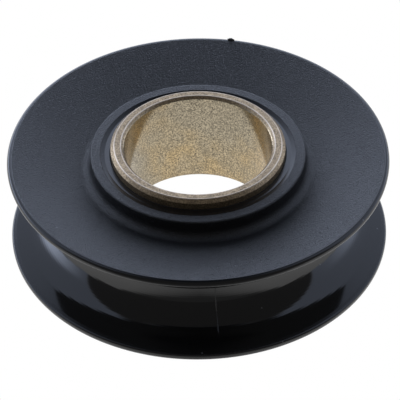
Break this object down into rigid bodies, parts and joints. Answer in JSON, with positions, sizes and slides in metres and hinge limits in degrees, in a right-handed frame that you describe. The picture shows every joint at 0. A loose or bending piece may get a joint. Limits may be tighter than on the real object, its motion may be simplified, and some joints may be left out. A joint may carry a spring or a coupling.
{
  "type": "wire rope sheave",
  "caption": "Black moulded rope sheave with a deep round-bottomed groove, dished flanges and a raised hub around a plain bronze bush.",
  "frame": {"origin": "where the bore axis crosses the middle plane of the rope groove", "axes": "+Z along the bore axis, towards the raised boss and the end of the bush that stands proud"},
  "size_m": [0.116, 0.116, 0.0351],
  "materials": {
    "nylon": "black, spark-eroded matte on the outer faces, polished in the groove and on the rims",
    "bronze": "sintered bronze, dull and finely porous"
  },
  "bodies": {
    "root": {"sheave_body": "nylon", "bush": "bronze"}
  },
  "joints": []
}
